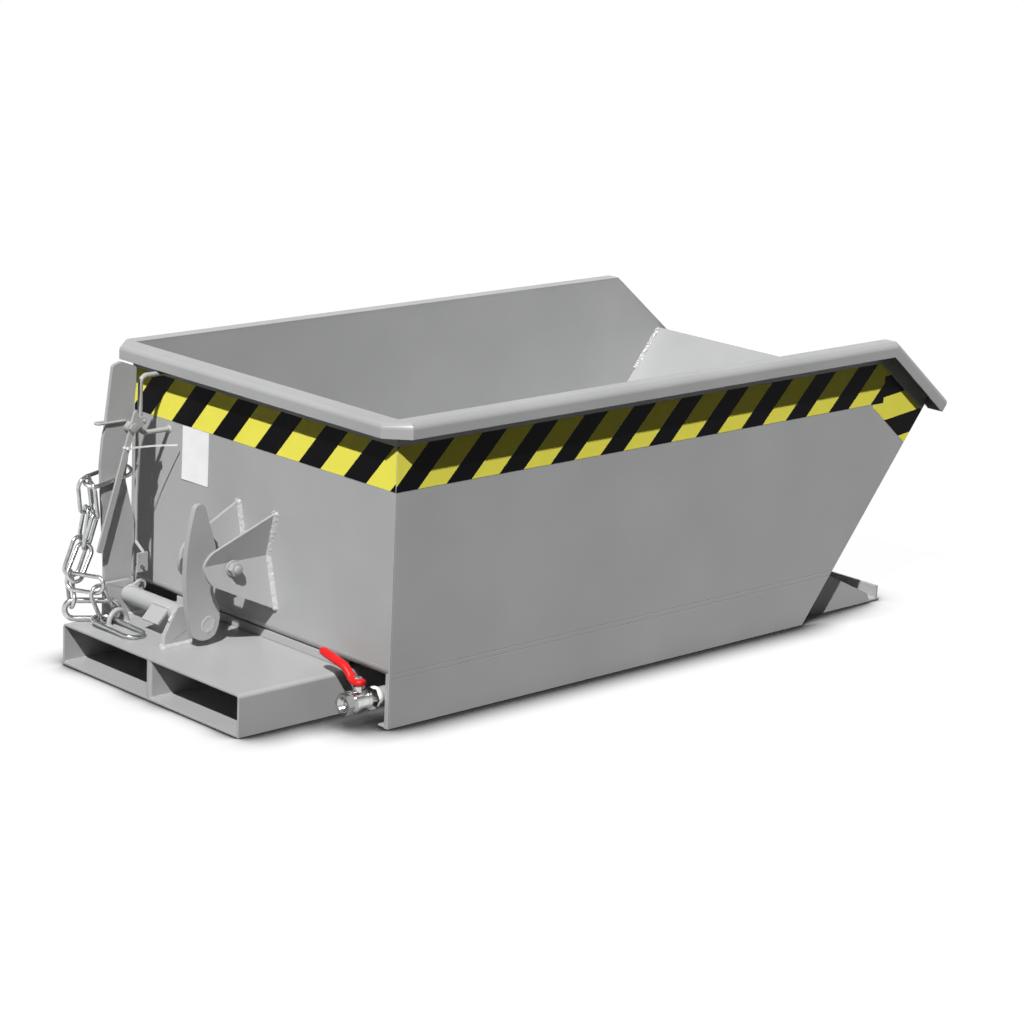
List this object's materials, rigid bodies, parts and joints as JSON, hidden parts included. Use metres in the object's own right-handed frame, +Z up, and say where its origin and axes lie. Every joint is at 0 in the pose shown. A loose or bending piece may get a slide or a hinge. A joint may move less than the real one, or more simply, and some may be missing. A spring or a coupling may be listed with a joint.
{
  "type": "tipping hopper",
  "caption": "Low steel tipping hopper with a slanted front lip, hinged on a base with fork pockets, with a hook latch, release lever, securing chain and drain valve.",
  "frame": {"origin": "bottom centre of the whole object's box, on the floor", "axes": "+X forward, the way it tips; +Y to the left; +Z up"},
  "size_m": [2.1552, 1.05, 0.711],
  "materials": {
    "grey_paint": "semi-gloss grey paint",
    "zinc_steel": "bright zinc plating",
    "chrome_brass": "nickel plated",
    "red_sleeve": "red plastic sleeve",
    "warning_tape": "yellow film with black slanted stripes",
    "white_card": "plain white card",
    "white_tie": "white plastic"
  },
  "bodies": {
    "base": {"chain_long": "zinc_steel", "chain_short": "zinc_steel", "chain_top_ring": "zinc_steel", "end_ring": "zinc_steel", "hinge_pin_left": "grey_paint", "hinge_pin_right": "grey_paint", "lever_bolt": "grey_paint", "mast_post": "grey_paint", "nose_floor": "grey_paint", "nose_side_left": "grey_paint", "nose_side_right": "grey_paint", "oblong_ring": "zinc_steel", "pocket_bottom": "grey_paint", "pocket_cover": "grey_paint", "pocket_divider": "grey_paint", "pocket_end_plate": "grey_paint", "post_strap": "grey_paint", "ring_eye": "grey_paint", "shaft_bracket_inner": "grey_paint", "shaft_bracket_outer": "grey_paint", "upright_link": "zinc_steel"},
    "latch": {"latch_tube": "grey_paint", "latch_hook": "grey_paint", "latch_pedal": "grey_paint", "latch_lug": "grey_paint"},
    "lever": {"release_lever": "grey_paint", "cable_tie": "white_tie"},
    "rod": {"pull_rod": "grey_paint", "wire_hook": "zinc_steel"},
    "valve": {"valve_stem": "chrome_brass", "valve_lever": "red_sleeve", "valve_nut": "chrome_brass"},
    "hopper": {"tub_sheet": "grey_paint", "rear_wall": "grey_paint", "side_panel_left": "grey_paint", "side_panel_right": "grey_paint", "skirt_edge_left": "grey_paint", "skirt_edge_right": "grey_paint", "rim_rear": "grey_paint", "rim_side_left": "grey_paint", "rim_side_right": "grey_paint", "rim_slant_left": "grey_paint", "rim_slant_right": "grey_paint", "rest_bar_rear": "grey_paint", "rest_bar_front": "grey_paint", "hinge_lug_left": "grey_paint", "hinge_lug_right": "grey_paint", "catch_ear_left": "grey_paint", "catch_ear_right": "grey_paint", "catch_bolt": "grey_paint", "catch_nut": "grey_paint", "grab_handle": "grey_paint", "drain_pipe": "grey_paint", "valve_body": "chrome_brass", "tape_rear": "warning_tape", "tape_side_left": "warning_tape", "tape_side_right": "warning_tape", "paper_card": "white_card"}
  },
  "joints": [
    {"name": "hopper_tip", "type": "hinge", "parent": "base", "child": "hopper", "pos_m": [0.70737, 0, 0.092], "axis": [0, 1, 0], "range_deg": [0, 68]},
    {"name": "latch_turn", "type": "hinge", "parent": "base", "child": "latch", "pos_m": [-0.91363, 0.15, 0.152], "axis": [0, 1, 0], "range_deg": [-20, 6.5]},
    {"name": "lever_turn", "type": "hinge", "parent": "base", "child": "lever", "pos_m": [-0.90763, 0.301, 0.553], "axis": [0, 1, 0], "range_deg": [-17, 5.6]},
    {"name": "rod_swing", "type": "hinge", "parent": "lever", "child": "rod", "pos_m": [-0.87464, 0.301, 0.566], "axis": [0, 1, 0], "range_deg": [-5.6, 17]},
    {"name": "valve_turn", "type": "hinge", "parent": "hopper", "child": "valve", "pos_m": [-0.82164, -0.43, 0.064], "axis": [0, 0, 1], "range_deg": [0, 90]}
  ],
  "couplings": [
    {"joint": "lever_turn", "follows": "latch_turn", "ratio": 0.85},
    {"joint": "rod_swing", "follows": "latch_turn", "ratio": -0.85}
  ]
}
